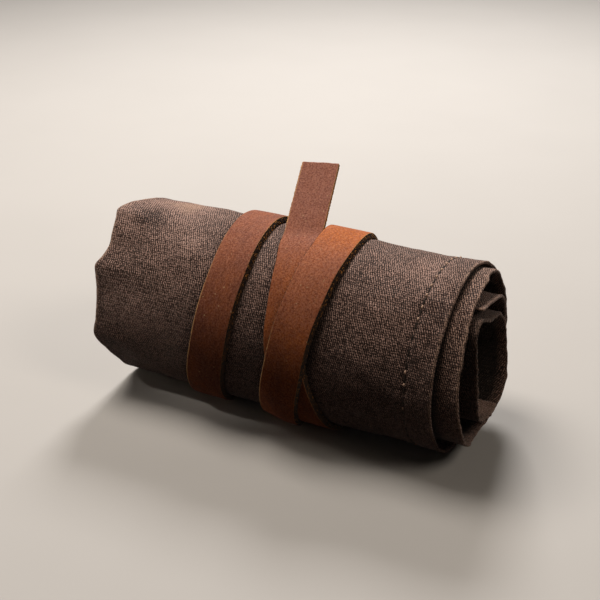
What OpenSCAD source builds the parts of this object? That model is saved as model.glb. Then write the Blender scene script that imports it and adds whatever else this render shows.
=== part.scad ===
// Canvas watch roll, rolled up and tied with a wound leather strap.
// The roll lies along X with its open end at +X, and rests on Z = 0.
// Angles round the roll: 0 is the front (-Y), 90 the top, 180 the back, -90 the bottom.

/* [Roll] */
// Outer diameter of the roll
roll_d = 94; // [84:1:110]
// Length of the outer canvas along the roll
roll_len = 184; // [165:1:220]
// Thickness of the doubled canvas
canvas_t = 1.2; // [0.8:0.1:1.5]
// Free space between neighbouring layers of cloth
layer_gap = 0.3; // [0.2:0.05:0.4]
// How far the innermost turn stands out of the open end
inner_reach = 13; // [6:1:18]
// How much wider than the outer canvas the flap is cut
flap_extra = 6; // [0:1:12]
// How far the soft left end flares at its corners
end_flare = 3.6; // [0:0.2:4]
// Length of the stretch that flares at the left end
flare_len = 45; // [30:1:60]

/* [Pockets] */
// Number of watch pockets
pockets = 4; // [2:1:6]
// Depth of a pocket from its mouth to its closing seam
pocket_depth = 112; // [90:1:130]
// Thickness of the single pocket cloth
pocket_t = 0.8; // [0.5:0.1:1]
// Cloth left past the closing seam of the pockets
seam_allowance = 4; // [3:0.5:8]

/* [Stitching] */
// Distance of the topstitching from the right edge
seam_inset = 13; // [9:0.5:16]
// Distance of the end hems' stitching from the end of the cloth
hem_inset = 8; // [5:0.5:12]
// Length of one stitch with the space after it
stitch_pitch = 6.2; // [4:0.1:9]
// Length of the thread that shows in one stitch
stitch_len = 3.6; // [2:0.1:3.8]
// Width of the thread
thread_w = 0.8; // [0.5:0.1:1]
// Thickness of the thread
thread_t = 0.4; // [0.3:0.05:0.6]

/* [Strap] */
// Width of the leather strap
strap_w = 19; // [15:0.5:20]
// Thickness of the leather strap
strap_t = 2.5; // [1.8:0.1:2.8]
// Length of the free end from its bend to its cut end
tail_len = 46; // [30:1:60]
// Angle by which the free end rises off the roll
tail_rise = 25; // [20:1:35]
// Free space at the bend of the free end
bend_gap = 0.3; // [0.2:0.05:0.4]
// Free space between the canvas and the strap, over what the hem's thread takes
strap_gap = 0.1; // [0.05:0.05:0.3]

/* [Hidden] */

roll_r = roll_d / 2;
core_r = roll_r - canvas_t / 2;
// Space between the thread and the cloth, which curves towards it on its hollow side
thread_seat = thread_t * 0.65;
// From the middle of the outer canvas to the middle of the flap beneath it
flap_drop = canvas_t + pocket_t + 2 * layer_gap + thread_t + thread_seat;
// From the first turn of a layer to its second turn, under the free end
second_drop = flap_drop + canvas_t + layer_gap + thread_t;
pocket_drop = canvas_t / 2 + layer_gap + pocket_t / 2;
strap_r = roll_r + thread_seat + thread_t + strap_gap + strap_t / 2;
// Height of the middle of the lowest canvas, which lies on the strap
canvas_floor = strap_t + layer_gap + canvas_t / 2;

// The cloth starts at its hidden outer end and winds inwards, down the front
free_end_angle = 212;
second_from_angle = 312;
second_to_angle = 350;
canvas_end_angle = 509;
flap_start_angle = 7;
flap_end_angle = 690;
panel_start_angle = 17;
panel_end_angle = 495;
canvas_step_angle = 5;
flap_step_angle = 4;
slope_angle = 1;
// Bands of radius over which a turn of cloth and a turn of the strap ease onto their floors
floor_ease = strap_t * 0.8;
strap_ease = strap_t * 0.4;

// Turns of the outer canvas: angle wound, share of the core radius, share of the inner reach
canvas_turn_shares = [
    [0, 1, 0.35], [42, 1, 0.15], [87, 1, 0.05], [122, 1, 0], [212, 1, 0], [272, 1, 0],
    [302, 1, 0.05], [340, 1, 0.25], [352, 1, 0.3], [367, 0.963, 0.38], [392, 0.888, 0.5],
    [425, 0.83, 0.65], [464, 0.815, 0.83], [482, 0.834, 0.88], [500, 0.929, 0.93], [509, 1.004, 0.95]];

// Turns of the flap, given in the same way
flap_turn_shares = [
    [7, 1, 0.64], [22, 1, 0.47], [42, 1, 0.39], [62, 1, 0.38], [78, 1, 0.34], [97, 1, 0.45],
    [113, 1.004, 0.53], [132, 1, 0.64], [152, 1.002, 0.66], [163, 1.002, 0.72], [181, 1.002, 0.79],
    [207, 1, 0.87], [221, 0.996, 0.93], [242, 0.97, 1], [257, 0.944, 0.93], [272, 0.922, 0.85],
    [287, 0.901, 0.73], [302, 0.888, 0.7], [322, 0.907, 0.79], [340, 0.979, 0.92], [350, 0.998, 0.9],
    [362, 0.975, 0.85], [377, 0.928, 0.75], [392, 0.871, 0.7], [426, 0.754, 0.72], [448, 0.716, 0.8],
    [470, 0.709, 0.92], [487, 0.741, 0.97], [498, 0.789, 1], [508, 0.903, 1], [516, 1.022, 1],
    [525, 1.039, 1], [532, 0.959, 1], [541, 0.819, 1], [555, 0.698, 1], [575, 0.629, 1],
    [592, 0.634, 1], [611, 0.675, 1], [630, 0.767, 1], [646, 0.797, 1], [668, 0.83, 1], [690, 0.944, 0.9]];

// Corners of the soft left end: angle round the roll, share of the flare
flare_shares = [[71, 1], [33, 0.6], [-12, 0.5], [-60, 0.3], [118, 0.1], [165, 0.5], [205, 0.3]];
flare_spread_angle = 9;

// How far the taut strap sinks past the free end of the canvas: angle, share of the second drop
strap_sink_shares = [
    [-151, 0], [-146, 0.04], [-142, 0.35], [-137, 0.75], [-130, 0.86], [-124, 0.62], [-118, 0.35],
    [-108, 0.06], [-100, 0], [-90, 0]];

// Path of the strap's middle: angle wound, share of the strap's width along X
strap_path_shares = [
    [-172, -2.53], [-150, -2.45], [-120, -2.29], [-90, -2.13], [-60, -1.87], [-28, -1.563],
    [0, -1.253], [24, -1.1], [45, -1.042], [60, -1.074], [80, -1.147], [95, -1.226], [120, -1.29],
    [150, -1.16], [180, -0.87], [215, -0.47], [250, -0.08], [275, 0.105], [300, 0.34], [332, 0.69],
    [360, 1.02], [386, 1.205], [400, 1.3], [415, 1.347], [433, 1.38], [450, 1.337], [465, 1.24],
    [485, 1.08], [510, 0.95], [540, 0.95], [575, 1.08], [610, 1.26], [640, 1.37], [674, 1.33],
    [692, 1.27], [720, 1.02], [739, 0.89], [750, 0.855], [762, 0.784], [775, 0.68], [783, 0.6],
    [793, 0.452], [804, 0.332]];
strap_start_angle = -172;
bend_angle = 804;
full_turn = 360;
strap_step_angle = 6;
strap_cuts = 6;
// The second turn of the strap passes over the third between these angles
cross_from_angle = 276;
cross_to_angle = 476;
// Run over which the upper turn comes down beside the lower one
step_run = strap_w * 0.7;
anchor_len = strap_w * 0.6;
anchor_inset = strap_t;

// Cubic curve through the rows of a table whose first column rises
function seg(t, a, i = 0) = (i >= len(t) - 2 || a < t[i + 1][0]) ? i : seg(t, a, i + 1);
function grade(t, i, c) =
    let (lo = max(i - 1, 0), hi = min(i + 1, len(t) - 1))
    (t[hi][c] - t[lo][c]) / (t[hi][0] - t[lo][0]);
function curve(t, a, c) =
    let (i = seg(t, a), w = t[i + 1][0] - t[i][0], u = min(max((a - t[i][0]) / w, 0), 1))
    t[i][c] * (2 * u * u * u - 3 * u * u + 1) + t[i + 1][c] * (3 * u * u - 2 * u * u * u)
    + w * grade(t, i, c) * (u * u * u - 2 * u * u + u)
    + w * grade(t, i + 1, c) * (u * u * u - u * u);
function ease(u) = let (v = min(max(u, 0), 1)) v * v * (3 - 2 * v);
function span(from, to, n) = [for (i = [0:n]) from + (to - from) * i / n];

// Height limit with an eased start, so that nothing sinks below the given level under the roll
function above(r, angle, level, band) =
    sin(angle) >= 0 ? r :
    let (limit = (roll_r - level) / -sin(angle), near = max(band - abs(r - limit), 0))
    min(r, limit) - near * near / band / 4;
function second_turn(a) = ease((a - second_from_angle) / (second_to_angle - second_from_angle));
function canvas_r(a) = above(core_r * curve(canvas_turn_shares, a, 1) - second_drop * second_turn(a),
                             free_end_angle - a, canvas_floor, floor_ease);
function flap_r(a) = core_r * curve(flap_turn_shares, a, 1) - flap_drop - second_drop * second_turn(a);
function panel_r(a) = canvas_r(a) - pocket_drop;
function canvas_right(a) = roll_len / 2 + inner_reach * curve(canvas_turn_shares, a, 2);
function flap_right(a) = roll_len / 2 + inner_reach * curve(flap_turn_shares, a, 2);
function panel_right(a) = canvas_right(a) - seam_inset + seam_allowance;

// Point of a section through the roll
function at(angle, r) = [-r * cos(angle), roll_r + r * sin(angle)];
function unit(v) = v / norm(v);
function layer_r(kind, a) = kind == "canvas" ? canvas_r(a) : kind == "flap" ? flap_r(a) : panel_r(a);
function layer_point(kind, a) = at(free_end_angle - a, layer_r(kind, a));
// Outward normal of a layer of cloth
function layer_normal(kind, a) =
    let (d = unit(layer_point(kind, a + slope_angle) - layer_point(kind, a - slope_angle))) [d[1], -d[0]];
function flare(a, x) =
    a > second_from_angle ? 0 :
    let (near = ease((flare_len - roll_len / 2 - x) / flare_len),
         angle = free_end_angle - a)
    end_flare * near
    * max([for (f = flare_shares) f[1] * exp(-pow((angle - f[0]) / flare_spread_angle, 2))]);

// Closed slab between two grids of points with the same rows and columns
module slab(upper, lower) {
    n = len(upper);
    m = len(upper[0]);
    function up(i, j) = i * m + j;
    function low(i, j) = n * m + i * m + j;
    points = concat([for (row = upper) each row], [for (row = lower) each row]);
    faces = concat(
        [for (i = [0:n - 2], j = [0:m - 2]) each
            [[up(i, j), up(i, j + 1), up(i + 1, j + 1)], [up(i, j), up(i + 1, j + 1), up(i + 1, j)],
             [low(i, j), low(i + 1, j + 1), low(i, j + 1)], [low(i, j), low(i + 1, j), low(i + 1, j + 1)]]],
        [for (i = [0:n - 2]) each
            [[up(i, 0), up(i + 1, 0), low(i + 1, 0)], [up(i, 0), low(i + 1, 0), low(i, 0)],
             [up(i, m - 1), low(i + 1, m - 1), up(i + 1, m - 1)],
             [up(i, m - 1), low(i, m - 1), low(i + 1, m - 1)]]],
        [for (j = [0:m - 2]) each
            [[up(0, j), low(0, j + 1), up(0, j + 1)], [up(0, j), low(0, j), low(0, j + 1)],
             [up(n - 1, j), up(n - 1, j + 1), low(n - 1, j + 1)],
             [up(n - 1, j), low(n - 1, j + 1), low(n - 1, j)]]]);
    polyhedron(points = points, faces = faces);
}

// A layer of cloth between two wound angles, cut along X at the given shares of its width
module layer(kind, from, to, step, thick, right_edge, width, cut_shares) {
    angles = span(from, to, ceil((to - from) / step));
    function grid(side) = [for (i = [0:len(angles) - 1])
        let (a = angles[i], c = layer_point(kind, a), d = layer_normal(kind, a) * side * thick / 2)
        [for (s = cut_shares)
            let (x = right_edge[i] - width * (1 - s),
                 f = kind == "canvas" ? flare(a, x) : 0,
                 out = unit(c - [0, roll_r]) * f)
            [x - f * (1 - s), c[0] + d[0] + out[0], c[1] + d[1] + out[1]]]];
    slab(grid(-1), grid(1));
}

// Puts its children on a layer of cloth, with their Z outwards and their Y round the roll
module on_layer(kind, a, x, out) {
    p = layer_point(kind, a);
    d = layer_normal(kind, a);
    translate([x, p[0] + d[0] * out, p[1] + d[1] * out])
        rotate([atan2(d[1], d[0]) - 90, 0, 0])
            children();
}

// Wound angles of a row of stitches with an even pitch
function row(kind, a, to) =
    a > to ? [] : concat([a], row(kind, a + stitch_pitch / layer_r(kind, a) * 180 / PI, to));

module stitch_round() {
    cube([thread_w, stitch_len, thread_t], center = true);
}

module stitch_across() {
    cube([stitch_len, thread_w, thread_t], center = true);
}

// A row of stitches along X, between two ends
module row_across(kind, a, from, to, out) {
    for (x = [from + stitch_pitch / 2:stitch_pitch:to - stitch_pitch / 2])
        on_layer(kind, a, x, out) stitch_across();
}

on_canvas = canvas_t / 2 + thread_seat + thread_t / 2;
under_panel = -pocket_t / 2 - thread_seat - thread_t / 2;
hem_turn = hem_inset / core_r * 180 / PI;

module outer_canvas() {
    angles = span(0, canvas_end_angle, ceil(canvas_end_angle / canvas_step_angle));
    color("#5c534c")
        layer("canvas", 0, canvas_end_angle, canvas_step_angle, canvas_t,
              [for (a = angles) canvas_right(a)], roll_len, [0, 0.04, 0.09, 0.15, 0.25, 0.6, 1]);
}

module cover_flap() {
    angles = span(flap_start_angle, flap_end_angle,
                  ceil((flap_end_angle - flap_start_angle) / flap_step_angle));
    color("#6b6159")
        layer("flap", flap_start_angle, flap_end_angle, flap_step_angle, canvas_t,
              [for (a = angles) flap_right(a)], roll_len + flap_extra, [0, 0.5, 1]);
}

module pocket_panel() {
    angles = span(panel_start_angle, panel_end_angle,
                  ceil((panel_end_angle - panel_start_angle) / canvas_step_angle));
    color("#4d4640")
        layer("panel", panel_start_angle, panel_end_angle, canvas_step_angle, pocket_t,
              [for (a = angles) panel_right(a)], pocket_depth + seam_allowance, [0, 1]);
}

module edge_topstitching() {
    color("#3a2f29")
        for (a = row("canvas", hem_turn, canvas_end_angle - hem_turn))
            on_layer("canvas", a, canvas_right(a) - seam_inset, on_canvas) stitch_round();
}

module end_hem_stitching(a) {
    color("#3a2f29")
        row_across("canvas", a, canvas_right(a) - roll_len + flare_len, canvas_right(a) - seam_inset,
                   on_canvas);
}

module outer_end_hem_stitching() {
    end_hem_stitching(hem_turn);
}

module inner_end_hem_stitching() {
    end_hem_stitching(canvas_end_angle - hem_turn);
}

module pocket_divider_stitching() {
    places = row("panel", panel_start_angle, panel_end_angle);
    color("#3a2f29")
        for (k = [1:pockets - 1]) {
            a = places[round(k * len(places) / pockets)];
            row_across("panel", a, panel_right(a) - seam_allowance - pocket_depth + hem_inset,
                       panel_right(a) - seam_allowance, under_panel);
        }
}

module pocket_mouth_stitching() {
    color("#3a2f29")
        for (a = row("panel", panel_start_angle + hem_turn / 2, panel_end_angle - hem_turn / 2))
            on_layer("panel", a, panel_right(a) - seam_allowance - pocket_depth + hem_inset / 2,
                     under_panel) stitch_round();
}

// Path of the strap, which goes on straight past its bend
function strap_x(a) =
    a <= bend_angle ? strap_w * curve(strap_path_shares, a, 1)
    : strap_x(bend_angle) + (a - bend_angle) * (strap_x(bend_angle) - strap_x(bend_angle - slope_angle));
function strap_base(angle) =
    let (w = angle - full_turn * floor((angle + 180) / full_turn))
    strap_r - (w < strap_sink_shares[0][0] || w > -90 ? 0 : second_drop * curve(strap_sink_shares, w, 1));
// Slant of the strap against a plain ring
function slant(a) =
    atan2(strap_x(a + slope_angle) - strap_x(a - slope_angle), 2 * slope_angle * strap_r * PI / 180);
// How far the upper turn is lifted where it crosses the lower one
function lift(a, x) =
    a < cross_from_angle || a > cross_to_angle ? 0 :
    let (lower = a + full_turn,
         clear = abs(x - strap_x(lower)) - strap_w / 2 / cos(slant(lower)) - layer_gap)
    (strap_t + layer_gap) * (1 - ease(clear / step_run))
    * ease((a - cross_from_angle) / strap_step_angle / 3) * ease((cross_to_angle - a) / strap_step_angle / 4);
function strap_point(a, across, out) =
    let (b = slant(a), x = strap_x(a) + across * cos(b),
         angle = a - across * sin(b) / strap_r * 180 / PI,
         r = above(strap_base(angle) + lift(a, x), angle, strap_t / 2, strap_ease),
         p = at(angle, r),
         next = angle + slope_angle,
         q = at(next, above(strap_base(next) + lift(a + slope_angle, x), next, strap_t / 2, strap_ease)),
         d = unit(q - p))
    [x, p[0] - d[1] * out, p[1] + d[0] * out];

strap_end_angle = bend_angle - (strap_t / 2 + bend_gap) / strap_r * 180 / PI;

module wound_strap() {
    angles = span(strap_start_angle, strap_end_angle,
                  ceil((strap_end_angle - strap_start_angle) / strap_step_angle));
    function grid(side) = [for (a = angles)
        [for (s = [-strap_cuts / 2:strap_cuts / 2])
            strap_point(a, s * strap_w / strap_cuts, side * strap_t / 2)]];
    color("#8a4b2c") slab(grid(1), grid(-1));
}

// Puts its children on the strap's path, with their Z outwards and their Y along the strap
module on_strap(a, out) {
    p = at(a, strap_base(a) + out);
    translate([strap_x(a), p[0], p[1]])
        rotate([90 - a, 0, 0])
            rotate([0, 0, -slant(a)])
                children();
}

module strap_tail() {
    color("#8a4b2c")
        on_strap(bend_angle, 0)
            rotate([tail_rise, 0, 0]) {
                rotate([0, 90, 0]) cylinder(d = strap_t, h = strap_w, center = true, $fn = 32);
                translate([-strap_w / 2, 0, -strap_t / 2]) cube([strap_w, tail_len, strap_t]);
            }
}

module strap_anchor_stitching() {
    out = strap_t / 2 + thread_seat + thread_t / 2;
    half = strap_w / 2 - anchor_inset;
    turn = 180 / PI / strap_r;
    color("#3a2f29") {
        for (side = [-1, 1], s = [anchor_inset + stitch_pitch / 2:stitch_pitch:anchor_inset + anchor_len])
            on_strap(strap_start_angle + s * turn, out) translate([side * half, 0, 0]) stitch_round();
        for (s = [anchor_inset, anchor_inset + anchor_len + stitch_pitch / 2])
            on_strap(strap_start_angle + s * turn, out)
                for (x = [-half / 2, half / 2]) translate([x, 0, 0]) stitch_across();
    }
}

outer_canvas();
cover_flap();
pocket_panel();
edge_topstitching();
outer_end_hem_stitching();
inner_end_hem_stitching();
pocket_divider_stitching();
pocket_mouth_stitching();
wound_strap();
strap_tail();
strap_anchor_stitching();
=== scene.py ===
"""Watch roll: waxed canvas rolled up and tied with a wound leather strap.

Lengths of the roll are millimetres until a mesh is made. Camera, lamps and floor are in metres.
Angles round the roll are degrees: 0 front (-Y), 90 top, 180 back, -90 bottom. A wound angle grows from the
hidden outer end of the cloth inwards, and along the strap from its stitched start.
"""
from math import acos, atan2, cos, degrees, pi, radians, sin
import bpy
import numpy as np
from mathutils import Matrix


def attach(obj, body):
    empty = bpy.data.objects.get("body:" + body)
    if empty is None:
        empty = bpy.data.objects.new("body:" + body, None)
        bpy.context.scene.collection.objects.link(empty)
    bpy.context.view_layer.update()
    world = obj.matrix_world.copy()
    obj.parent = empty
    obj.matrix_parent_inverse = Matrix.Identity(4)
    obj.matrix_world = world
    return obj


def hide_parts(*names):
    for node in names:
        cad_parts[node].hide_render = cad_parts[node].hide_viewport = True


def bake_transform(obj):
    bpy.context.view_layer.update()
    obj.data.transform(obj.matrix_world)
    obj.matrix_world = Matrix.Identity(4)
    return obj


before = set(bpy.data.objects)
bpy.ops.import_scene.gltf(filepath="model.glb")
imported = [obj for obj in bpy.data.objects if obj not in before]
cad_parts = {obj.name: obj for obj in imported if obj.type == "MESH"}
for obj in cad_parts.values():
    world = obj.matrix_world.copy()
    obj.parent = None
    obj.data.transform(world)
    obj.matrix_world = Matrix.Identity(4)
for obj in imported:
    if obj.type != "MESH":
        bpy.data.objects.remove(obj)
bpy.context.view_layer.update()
MM = 0.001

# Camera of the photograph
camera_data = bpy.data.cameras.new("camera")
camera_data.sensor_width = 36
camera_data.lens = 67.0
camera_data.clip_start = 0.01
camera = bpy.data.objects.new("camera", camera_data)
bpy.context.collection.objects.link(camera)
camera.location = (0.2397, -0.4526, 0.3100)
camera.rotation_euler = (radians(63.715), 0, radians(27.725))
bpy.context.scene.camera = camera

# Sizes, as in the part's source
ROLL_R = 47.0
ROLL_LEN = 184.0
CANVAS_T = 1.2
PANEL_T = 0.8
GAP = 0.3
REACH = 13.0
FLAP_EXTRA = 6.0
FLARE_LEN = 45.0
POCKETS = 4
POCKET_DEPTH = 112.0
ALLOWANCE = 4.0
SEAM_INSET = 13.0
HEM_INSET = 8.0
PITCH = 6.2
STITCH = 3.6
THREAD_T = 0.4
SEAT = 0.26
STRAP_W = 19.0
STRAP_T = 2.5
TAIL_LEN = 46.0
TAIL_RISE = 25.0
CORE_R = ROLL_R - CANVAS_T / 2
FLAP_DROP = CANVAS_T + PANEL_T + 2 * GAP + THREAD_T + SEAT
SECOND_DROP = FLAP_DROP + CANVAS_T + GAP + THREAD_T
PANEL_DROP = CANVAS_T / 2 + GAP + PANEL_T / 2
STRAP_R = ROLL_R + SEAT + THREAD_T + 0.1 + STRAP_T / 2
CANVAS_FLOOR = STRAP_T + GAP + CANVAS_T / 2
FLOOR_EASE = STRAP_T * 0.8
STRAP_EASE = STRAP_T * 0.4
FREE_END = 212.0
CANVAS_END = 509.0
FLAP_START, FLAP_END = 7.0, 690.0
PANEL_START, PANEL_END = 17.0, 495.0
STRAP_START, BEND = -172.0, 804.0
HEM_TURN = degrees(HEM_INSET / CORE_R)
# Wound angle where the cloths sink beneath the outermost turn, and the angle that takes
SECOND_FROM, SECOND_EASE = 312, 38

# Turns of the cloths: wound angle, share of the core radius, share of the reach
CANVAS_TURNS = [
    (0, 1, 0.35), (42, 1, 0.15), (87, 1, 0.05), (122, 1, 0), (212, 1, 0), (272, 1, 0),
    (302, 1, 0.05), (340, 1, 0.25), (352, 1, 0.3), (367, 0.963, 0.38), (392, 0.888, 0.5),
    (425, 0.83, 0.65), (464, 0.815, 0.83), (482, 0.834, 0.88), (500, 0.929, 0.93), (509, 1.004, 0.95)]
FLAP_TURNS = [
    (7, 1, 0.64), (22, 1, 0.47), (42, 1, 0.39), (62, 1, 0.38), (78, 1, 0.34), (97, 1, 0.45),
    (113, 1.004, 0.53), (132, 1, 0.64), (152, 1.002, 0.66), (163, 1.002, 0.72), (181, 1.002, 0.79),
    (207, 1, 0.87), (221, 0.996, 0.93), (242, 0.97, 1), (257, 0.944, 0.93), (272, 0.922, 0.85),
    (287, 0.901, 0.73), (302, 0.888, 0.7), (322, 0.907, 0.79), (340, 0.979, 0.92), (350, 0.998, 0.9),
    (362, 0.975, 0.85), (377, 0.928, 0.75), (392, 0.871, 0.7), (426, 0.754, 0.72), (448, 0.716, 0.8),
    (470, 0.709, 0.92), (487, 0.741, 0.97), (498, 0.789, 1), (508, 0.903, 1), (516, 1.022, 1),
    (525, 1.039, 1), (532, 0.959, 1), (541, 0.819, 1), (555, 0.698, 1), (575, 0.629, 1),
    (592, 0.634, 1), (611, 0.675, 1), (630, 0.767, 1), (646, 0.797, 1), (668, 0.83, 1), (690, 0.944, 0.9)]
# Soft left rim: angle round the roll, how far it leans out
RIM = [(-150, 0.2), (-120, -0.4), (-90, 0.3), (-70, 0.8), (-59, 0.4), (-47, -0.6), (-37, -0.5),
       (-26, 0.25), (-18, 1.4), (-12, 1.9), (-6, 1.1), (-2, 0.35), (11, -0.3), (18, 0), (26, 1.1),
       (31, 2.1), (33, 2.2), (35.5, 1.65), (39.5, 0.6), (47, -0.3), (55, 0.7), (65, 2.3), (70, 3.7),
       (73.5, 3.5), (80, 2.5), (88, 1.25), (97.5, 0.2), (112, -0.4), (135, 0.6), (160, 1.6),
       (180, 0.2), (200, 1.0), (212, 0.4)]
# Where the strap sinks in past the outer end of the cloth: angle round the roll, share of the drop
SINKS = [(-151, 0), (-146, 0.04), (-142, 0.35), (-137, 0.75), (-130, 0.86), (-124, 0.62), (-118, 0.35),
         (-108, 0.06), (-100, 0), (-90, 0)]
# Path of the strap: wound angle, place along X in widths of the strap
PATH = [
    (-172, -2.53), (-150, -2.45), (-120, -2.29), (-90, -2.13), (-60, -1.87), (-28, -1.563),
    (0, -1.253), (24, -1.1), (45, -1.042), (60, -1.074), (80, -1.147), (95, -1.226), (120, -1.29),
    (150, -1.16), (180, -0.87), (215, -0.47), (250, -0.08), (275, 0.105), (300, 0.34), (332, 0.69),
    (360, 1.02), (386, 1.205), (400, 1.3), (415, 1.347), (433, 1.38), (450, 1.337), (465, 1.24),
    (485, 1.08), (510, 0.95), (540, 0.95), (575, 1.08), (610, 1.26), (640, 1.37), (674, 1.33),
    (692, 1.27), (720, 1.02), (739, 0.89), (750, 0.855), (762, 0.784), (775, 0.68), (783, 0.6),
    (793, 0.452), (804, 0.332)]
# Where the strap passes over its own tucked end, and how it rises and falls there
CROSS_FROM, CROSS_TO, STRAP_STEP = 276.0, 476.0, 6.0
RISE_STEPS, FALL_STEPS, LIFT_REACH = 3, 4, 1.15


def hermite(u, start, end, start_slope, end_slope):
    """Cubic from start at u = 0 to end at u = 1."""
    return (start * (2 * u**3 - 3 * u**2 + 1) + end * (3 * u**2 - 2 * u**3)
            + start_slope * (u**3 - 2 * u**2 + u) + end_slope * (u**3 - u**2))


def curve(rows, a, c=1):
    """Smooth cubic curve through the rows of a table, in its column c."""
    t = np.array([r[0] for r in rows], float)
    v = np.array([r[c] for r in rows], float)
    g = np.empty_like(v)
    g[1:-1] = (v[2:] - v[:-2]) / (t[2:] - t[:-2])
    g[0] = (v[1] - v[0]) / (t[1] - t[0])
    g[-1] = (v[-1] - v[-2]) / (t[-1] - t[-2])
    a = np.clip(np.asarray(a, float), t[0], t[-1])
    i = np.clip(np.searchsorted(t, a, side="right") - 1, 0, len(t) - 2)
    w = t[i + 1] - t[i]
    return hermite((a - t[i]) / w, v[i], v[i + 1], w * g[i], w * g[i + 1])


def ease(u):
    """Smooth step from 0 at u = 0 to 1 at u = 1."""
    v = np.clip(u, 0, 1)
    return v * v * (3 - 2 * v)


def bell(value, spread):
    """1 where the value is 0, falling off on both sides."""
    return np.exp(-(value / spread)**2)


def wrapped(angle):
    """The same direction as an angle from -180 to 180."""
    return angle - 360 * np.floor((angle + 180) / 360)


def above(r, angle, level, band=FLOOR_EASE):
    """Distance from the axis, limited so that nothing sinks below a level over the floor."""
    s = np.sin(np.radians(angle))
    limit = (ROLL_R - level) / np.maximum(-s, 1e-6)
    near = np.maximum(band - np.abs(r - limit), 0)
    return np.where(s < 0, np.minimum(r, limit) - near * near / band / 4, r)


def at(angle, r):
    """Y and Z at an angle round the roll and a distance from its axis."""
    t = np.radians(angle)
    return np.stack([-r * np.cos(t), ROLL_R + r * np.sin(t)], -1)


def second_turn(a):
    """0 on the outermost turn of the cloth, 1 from the second turn on."""
    return ease((np.asarray(a, float) - SECOND_FROM) / SECOND_EASE)


def layer_r(kind, a):
    """Distance from the axis of the roll to the middle of a cloth."""
    a = np.asarray(a, float)
    if kind == "flap":
        return CORE_R * curve(FLAP_TURNS, a) - FLAP_DROP - SECOND_DROP * second_turn(a)
    r = above(CORE_R * curve(CANVAS_TURNS, a) - SECOND_DROP * second_turn(a), FREE_END - a, CANVAS_FLOOR)
    return r - PANEL_DROP if kind == "panel" else r


def layer_right(kind, a):
    edge = ROLL_LEN / 2 + REACH * curve(FLAP_TURNS if kind == "flap" else CANVAS_TURNS, a, 2)
    return edge - SEAM_INSET + ALLOWANCE if kind == "panel" else edge


def layer_point(kind, a):
    return at(FREE_END - np.asarray(a, float), layer_r(kind, a))


def layer_normal(kind, a):
    a = np.asarray(a, float)
    d = layer_point(kind, a + 1) - layer_point(kind, a - 1)
    d /= np.linalg.norm(d, axis=-1, keepdims=True)
    return np.stack([d[..., 1], -d[..., 0]], -1)


# The strap
def strap_x(a):
    a = np.asarray(a, float)
    end = STRAP_W * curve(PATH, BEND)
    step = end - STRAP_W * curve(PATH, BEND - 1)
    return np.where(a <= BEND, STRAP_W * curve(PATH, a), end + (a - BEND) * step)


def strap_base(angle):
    """Distance from the axis to the middle of a strap that lies on the cloth."""
    w = wrapped(angle)
    outside = (w < SINKS[0][0]) | (w > SINKS[-1][0])
    return STRAP_R - np.where(outside, 0, SECOND_DROP * curve(SINKS, w))


def slant(a):
    """Angle between the strap and the plane across the roll."""
    return np.degrees(np.arctan2(strap_x(a + 1) - strap_x(a - 1), 2 * STRAP_R * pi / 180))


def half_along_x(a):
    """Half the strap's width, measured along X."""
    return STRAP_W / 2 / np.cos(np.radians(slant(a)))


def lift(a, x):
    """How far the strap rises to pass over its own tucked end."""
    clear = np.abs(x - strap_x(a + 360)) - half_along_x(a + 360) - GAP
    up = (STRAP_T + GAP) * (1 - ease(clear / (STRAP_W * LIFT_REACH)))
    up = up * ease((a - CROSS_FROM) / STRAP_STEP / RISE_STEPS) * ease((CROSS_TO - a) / STRAP_STEP / FALL_STEPS)
    return np.where((a < CROSS_FROM) | (a > CROSS_TO), 0, up)


def strap_point(a, across, out):
    """Points of the wound strap: a and across are arrays of the same shape."""
    b = np.radians(slant(a))
    x = strap_x(a) + across * np.cos(b)
    angle = a - np.degrees(across * np.sin(b) / STRAP_R)
    p = at(angle, above(strap_base(angle) + lift(a, x), angle, STRAP_T / 2, STRAP_EASE))
    q = at(angle + 1, above(strap_base(angle + 1) + lift(a + 1, x), angle + 1, STRAP_T / 2, STRAP_EASE))
    d = q - p
    d /= np.linalg.norm(d, axis=-1, keepdims=True)
    return np.stack([x, p[..., 0] - d[..., 1] * out, p[..., 1] + d[..., 0] * out], -1)


def strap_frame(a, out=0.0):
    """Origin, cross, along and out directions of the strap at a wound angle, as plain arrays."""
    b = radians(float(slant(a)))
    t = radians(a)
    p = at(a, strap_base(np.array(float(a))) + out)
    outward = np.array([0, -cos(t), sin(t)])
    turn = np.array([0, sin(t), cos(t)])
    x = np.array([1.0, 0, 0])
    cross = cos(b) * x - sin(b) * turn
    along = sin(b) * x + cos(b) * turn
    return np.array([float(strap_x(a)), p[0], p[1]]), cross, along, outward


FAR = 1e3


def strap_turns(angle):
    """Wound angles at an angle round the roll, each with whether the strap is there."""
    for k in range(-1, 3):
        w = angle + 360 * k
        yield w, (w >= STRAP_START) & (w <= BEND)


def strap_distance(a, x):
    """Distance along X from a place on the outer canvas to the nearest strap edge, negative beneath."""
    best = np.full(np.broadcast(a, x).shape, FAR)
    for w, there in strap_turns(wrapped(FREE_END - a)):
        best = np.where(there, np.minimum(best, np.abs(x - strap_x(w)) - half_along_x(w)), best)
    return best


SINE_WAVES = 14


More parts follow.
